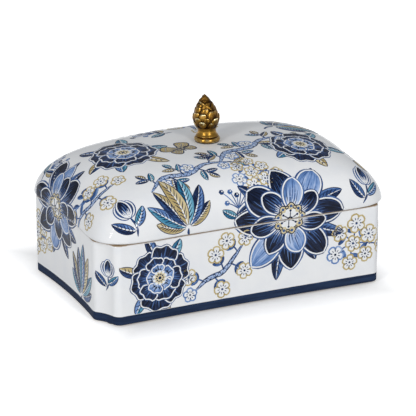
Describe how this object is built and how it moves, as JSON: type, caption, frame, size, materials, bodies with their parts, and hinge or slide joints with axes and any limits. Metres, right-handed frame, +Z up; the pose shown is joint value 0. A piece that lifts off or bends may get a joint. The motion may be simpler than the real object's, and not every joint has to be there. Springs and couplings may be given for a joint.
{
  "type": "lidded ceramic keepsake box",
  "caption": "Rectangular glazed ceramic keepsake box with hollow corners, a domed lift-off lid and a cast brass cone finial",
  "frame": {"origin": "centre of the bottom of the whole box, on the surface it stands on", "axes": "+X along the long side, +Y across from front to back, +Z up; the front is towards -Y"},
  "size_m": [0.271, 0.1782, 0.1633],
  "materials": {
    "glazed_ceramic": "gloss glaze with painted decoration",
    "antique_brass": "cast and darkened in the recesses",
    "seal_rubber": "matte",
    "plated_steel": "zinc plated",
    "pad_felt": "pressed felt"
  },
  "bodies": {
    "base": {"base": "glazed_ceramic", "felt_pads": "pad_felt"},
    "lid": {"lid": "glazed_ceramic", "finial": "antique_brass", "finial_seal": "seal_rubber", "inner_gasket": "seal_rubber", "steel_washer": "plated_steel", "fixing_screw": "plated_steel"}
  },
  "joints": [
    {"name": "lid_lift", "type": "slide", "parent": "base", "child": "lid", "axis": [0, 0, 1], "range_m": [0, 0.1]}
  ]
}
